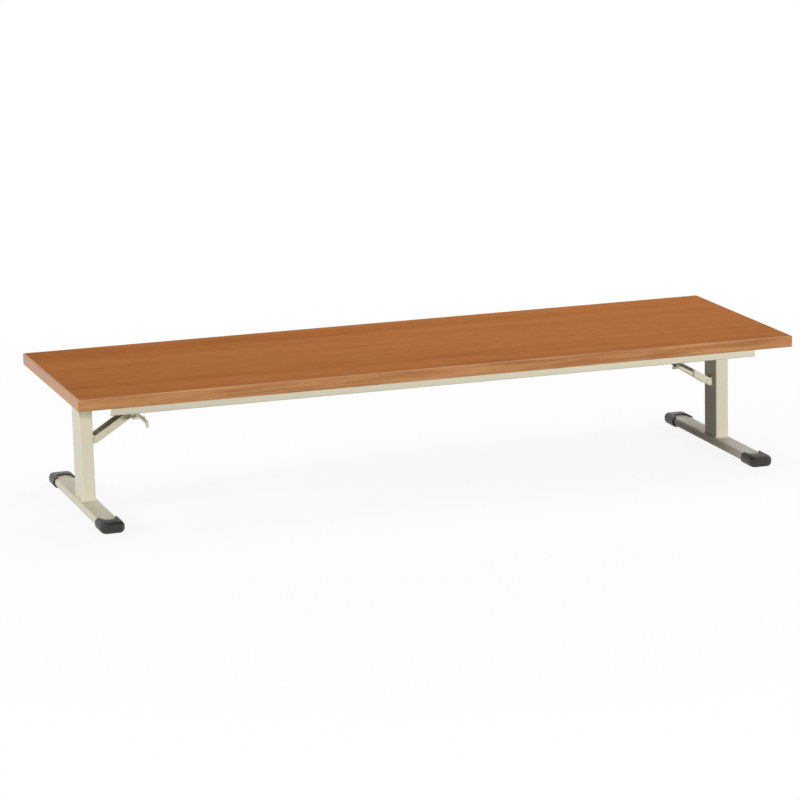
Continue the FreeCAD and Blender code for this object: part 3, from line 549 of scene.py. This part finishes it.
zinc_finish = zinc_plate()
screw_pattern = pan_head_screw()
screw_columns = {
    "rail_screws": 6, "bracket_screws_left": 2, "bracket_screws_right": 2,
    "keeper_screws_left": 2, "keeper_screws_right": 2,
}
for count, (node, columns) in enumerate(screw_columns.items()):
    screws = grown("crosshead_" + node, pattern_set, screw_seats(node, columns), {
        "Pattern": screw_pattern, "Most Turn": math.pi, "Seed": count, "Finish": zinc_finish})
    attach(screws, "frame")
    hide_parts(node)
bpy.data.objects.remove(screw_pattern)


# The leg pivots: a bright zinc bearing sleeve welded across each post turns on a headed pin,
# which goes through both ears of the hinge bracket and is enamelled like it.
for side in SIDES:
    dress(zinc_finish, "pivot_sleeve" + side)
    dress(enamel_finish, "pivot_pin" + side)


# The legs: a rectangular steel post welded on a flat-oval foot bar, with a lug for the stay
# welded on its inner face. All of it is enamelled cream, the weld bead round the post too.
BEAD_RADIUS = 0.0022
BEAD_SIDES = 8
BEAD_CORNER = 0.004
BEAD_CORNER_STEPS = 6
RIPPLE_PITCH = 0.0022
RIPPLE_DEPTH = 0.14
RIPPLE_STEPS = 5


def weld_bead_tree():
    """A rippled weld bead round a post of given size at every point."""
    tree, entry, leave = new_tree(
        "weld_bead", "GeometryNodeTree",
        {"Places": "NodeSocketGeometry", "Thickness": "NodeSocketFloat", "Width": "NodeSocketFloat",
         "Corner": "NodeSocketFloat", "Bead Radius": "NodeSocketFloat", "Ripple Pitch": "NodeSocketFloat",
         "Ripple Depth": "NodeSocketFloat", "Finish": "NodeSocketMaterial"},
        {"Bead": "NodeSocketGeometry"})
    outline = place(tree, "GeometryNodeCurvePrimitiveQuadrilateral", {
        "Width": entry["Thickness"], "Height": entry["Width"]}).outputs[0]
    rounded = place(tree, "GeometryNodeFilletCurve", {
        "Curve": outline, "Count": BEAD_CORNER_STEPS, "Radius": entry["Corner"]}, mode="POLY").outputs[0]
    step = result_of(tree, "DIVIDE", entry["Ripple Pitch"], RIPPLE_STEPS)
    path = place(tree, "GeometryNodeResampleCurve", {
        "Curve": rounded, "Length": step}, mode="LENGTH").outputs[0]
    length = place(tree, "GeometryNodeSplineParameter").outputs["Length"]
    ripples = result_of(tree, "DIVIDE", length, entry["Ripple Pitch"])
    sine = result_of(tree, "SINE", result_of(tree, "MULTIPLY", ripples, math.tau))
    wave = result_of(tree, "MULTIPLY", sine, entry["Ripple Depth"])
    swelling = place(tree, "GeometryNodeSetCurveRadius", {
        "Curve": path, "Radius": result_of(tree, "ADD", wave, 1.0)}).outputs[0]
    section = place(tree, "GeometryNodeCurvePrimitiveCircle", {
        "Resolution": BEAD_SIDES, "Radius": entry["Bead Radius"]}).outputs[0]
    bead = place(tree, "GeometryNodeCurveToMesh", {
        "Curve": swelling, "Profile Curve": section,
        "Scale": place(tree, "GeometryNodeInputRadius").outputs[0]}).outputs[0]
    smooth = place(tree, "GeometryNodeSetShadeSmooth", {"Geometry": bead}).outputs[0]
    copies = set_out(tree, entry["Places"], smooth, entry["Finish"])
    tree.links.new(copies, leave.inputs["Bead"])
    return tree


weld_bead = weld_bead_tree()
for side in SIDES:
    dress(enamel_finish, "leg_post" + side, "foot_bar" + side, "stay_lug" + side)
    low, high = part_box("leg_post" + side)
    middle = (low + high) / 2
    bead = grown("post_weld" + side, weld_bead, [(middle.x, middle.y, low.z)], {
        "Thickness": high.x - low.x, "Width": high.y - low.y, "Corner": BEAD_CORNER,
        "Bead Radius": BEAD_RADIUS, "Ripple Pitch": RIPPLE_PITCH, "Ripple Depth": RIPPLE_DEPTH,
        "Finish": enamel_finish})
    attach(bead, "leg" + side)


# The folding stays: pressed steel channels riveted to the lugs. Through the upper end of each goes
# a bent round bar, which the keeper's hooks hold until a finger pulls its turned-down tip.
# Stays, rivets and bars are enamelled cream.
for side in SIDES:
    dress(enamel_finish, "fold_stay" + side, "stay_pin" + side, "release_bar" + side)


# The foot caps: black moulded plastic shoes slipped over the ends of each foot bar,
# which keep the steel off the mat. The mould left them finely grained.
PLASTIC_COLOURS = (shade(26, 27, 27), shade(35, 36, 36))
PLASTIC_SCUFF_COLOUR = shade(104, 101, 97)
PLASTIC_SCUFF_SHARE = 0.35
PLASTIC_DUST_COLOUR = shade(128, 122, 114)
PLASTIC_DUST_SHARE = 0.12
PLASTIC_ROUGHNESS = (0.38, 0.52)
PLASTIC_RELIEF = (0.12, 0.0002)
PLASTIC_SHINE = 0.45


def black_plastic():
    """Grained black plastic, greyer where it is scuffed or dusty."""
    made, tree, surface, spot = new_finish("moulded_black_plastic")
    use = place(tree, "ShaderNodeGroup", {"Vector": spot}, node_tree=handling).outputs
    grain = noise(tree, spot, cells=(1500.0, 1500.0, 1500.0))
    clouds = noise(tree, spot, cells=(22.0, 22.0, 22.0), detail=3.0)
    body = mixed(tree, clouds, *PLASTIC_COLOURS)
    scuffed = tinted(tree, body, use["Scratches"], PLASTIC_SCUFF_SHARE, PLASTIC_SCUFF_COLOUR)
    colour = tinted(tree, scuffed, use["Dust"], PLASTIC_DUST_SHARE, PLASTIC_DUST_COLOUR)
    rough = stepped(tree, use["Smears"], *NOISE_SPAN, *PLASTIC_ROUGHNESS)
    cover(tree, surface, colour, rough, bumped(tree, grain, *PLASTIC_RELIEF))
    surface.inputs["Specular IOR Level"].default_value = PLASTIC_SHINE
    return made


plastic_finish = black_plastic()
for side in SIDES:
    dress(plastic_finish, "foot_cap_front" + side, "foot_cap_rear" + side)


# The catch springs and pin clips: blue-grey spring steel. Each catch spring is a strip held under
# its keeper, whose two fingers close the hooks behind the release bar; each clip snaps on its pin.
TEMPER_COLOURS = (shade(96, 102, 112), shade(134, 126, 112))
ROLLED_COLOUR = shade(160, 162, 164)
ROLLED_SHARE = 0.4
SPRING_ROUGHNESS = (0.24, 0.38)
SPRING_RELIEF = (0.06, 0.0001)


def spring_steel():
    """Tempered strip, from blue to straw, with fine lines from the rolls."""
    made, tree, surface, spot = new_finish("blued_spring_steel")
    rolling = noise(tree, spot, cells=(900.0, 30.0, 60.0), detail=3.0, roughness=0.6)
    temper = noise(tree, spot, cells=(40.0, 40.0, 40.0))
    blue = mixed(tree, temper, *TEMPER_COLOURS)
    rolled_share = stepped(tree, rolling, *NOISE_SPAN, to_high=ROLLED_SHARE)
    colour = mixed(tree, rolled_share, blue, ROLLED_COLOUR)
    rough = stepped(tree, rolling, *NOISE_SPAN, *SPRING_ROUGHNESS)
    cover(tree, surface, colour, rough, bumped(tree, rolling, *SPRING_RELIEF))
    surface.inputs["Metallic"].default_value = 1.0
    return made


spring_finish = spring_steel()
for side in SIDES:
    dress(spring_finish, "catch_spring" + side, "pin_clip" + side)


# The studio floor: a wide white sheet that keeps the table's soft shadow. It looks white to the
# camera, but throws only a little light back up under the table.
FLOOR_REACH = 40.0
FLOOR_WHITE = shade(248, 248, 247)
FLOOR_BOUNCE = shade(84, 84, 83)
FLOOR_ROUGHNESS = 0.9
SHADOW_REACHES = (1.0, 2.4)
NEAR_WHITE_SHARE = 0.90


def looked_at(tree):
    """One for rays from the camera, straight or by a glossy or clear surface, and nought for others."""
    path = place(tree, "ShaderNodeLightPath").outputs
    straight_or_glossy = result_of(tree, "MAXIMUM", path["Is Camera Ray"], path["Is Glossy Ray"])
    return result_of(tree, "MAXIMUM", straight_or_glossy, path["Is Transmission Ray"])


def white_floor():
    """A sheet that glows white away from the table, and near it still shows a faint shadow."""
    made, tree, surface, spot = new_finish("studio_floor")
    away = place(tree, "ShaderNodeVectorMath", {0: spot}, operation="LENGTH").outputs["Value"]
    seen = looked_at(tree)
    white_share = stepped(tree, away, *SHADOW_REACHES, to_low=NEAR_WHITE_SHARE)
    share = result_of(tree, "MULTIPLY", seen, white_share)
    tree.links.new(mixed(tree, seen, FLOOR_BOUNCE, FLOOR_WHITE), surface.inputs["Base Color"])
    surface.inputs["Roughness"].default_value = FLOOR_ROUGHNESS
    white = place(tree, "ShaderNodeEmission", {"Strength": 1.0})
    both = place(tree, "ShaderNodeMixShader", {0: share, 1: surface.outputs[0], 2: white.outputs[0]})
    tree.links.new(both.outputs[0], tree.nodes["Material Output"].inputs["Surface"])
    return made


floor_mesh = bpy.data.meshes.new("studio_floor")
floor_corners = [(x * FLOOR_REACH, y * FLOOR_REACH, 0) for x, y in ((-1, -1), (1, -1), (1, 1), (-1, 1))]
floor_mesh.from_pydata(floor_corners, [], [(0, 1, 2, 3)])
floor_mesh.materials.append(white_floor())
link("studio_floor", floor_mesh)


# The studio light: a key lamp at the left, a long lamp in front, a small one over the right half
# of the top and one behind at the right, in a room that looks white but lights little.
# Of these lamps glossy surfaces mirror only the small one, so that no glare hides the enamel.
TABLE_MIDDLE = (0, 0, 0.2)
TOP_AIM = (0.4, 0, 0.3)
ROOM_WHITE = (1, 1, 1, 1)
ROOM_LIGHT = 0.03


def soft_lamp(name, spot, aim, width, height, watts, mirrored=False):
    """A rectangular soft lamp aimed at a point, which glossy surfaces may or may not mirror."""
    data = bpy.data.lights.new(name, "AREA")
    data.shape = "RECTANGLE"
    data.size = width
    data.size_y = height
    data.energy = watts
    lamp = link(name, data)
    lamp.location = spot
    lamp.rotation_euler = (Vector(aim) - Vector(spot)).to_track_quat("-Z", "Y").to_euler()
    lamp.visible_glossy = mirrored


soft_lamp("key_lamp", spot=(-8.0, -1.2, 2.9), aim=TABLE_MIDDLE, width=3.0, height=2.0, watts=560)
soft_lamp("front_lamp", spot=(2.8, -8.7, 1.6), aim=TABLE_MIDDLE, width=5.0, height=1.6, watts=760)
soft_lamp("top_lamp", spot=(0.6, 0.7, 2.7), aim=TOP_AIM, width=1.6, height=1.6, watts=36, mirrored=True)
soft_lamp("rear_lamp", spot=(5.8, 6.8, 1.7), aim=TABLE_MIDDLE, width=5.0, height=2.0, watts=560)

world = bpy.data.worlds.new("studio_world")
world.use_nodes = True
bpy.context.scene.world = world
room = world.node_tree
room_light = room.nodes["Background"]
room_light.inputs["Color"].default_value = ROOM_WHITE
room_strength = stepped(room, looked_at(room), low=0.0, high=1.0, to_low=ROOM_LIGHT)
room.links.new(room_strength, room_light.inputs["Strength"])


# The camera: a long lens a little above the table, off its left end, which looks down on
# the top and sees the front, the left end and the inner side of the right leg.
CAMERA_PLACE = Vector((-2.6074, -7.9714, 2.0154))
CAMERA_YAW = math.radians(17.968)
CAMERA_PITCH = math.radians(12.277)
CAMERA_ROLL = math.radians(1.4)
LENS_LENGTH = 156.2
SENSOR_WIDTH = 36.0
SIGHT_REACH = 200.0
camera_data = bpy.data.cameras.new("photo_camera")
camera_data.sensor_width = SENSOR_WIDTH
camera_data.lens = LENS_LENGTH
camera_data.clip_end = SIGHT_REACH
camera = link("photo_camera", camera_data)
level_view = Matrix.Rotation(-CAMERA_YAW, 4, "Z") @ Matrix.Rotation(math.pi / 2 - CAMERA_PITCH, 4, "X")
camera.matrix_world = Matrix.Translation(CAMERA_PLACE) @ level_view @ Matrix.Rotation(-CAMERA_ROLL, 4, "Z")
bpy.context.scene.camera = camera
bpy.context.scene.view_settings.view_transform = "Standard"
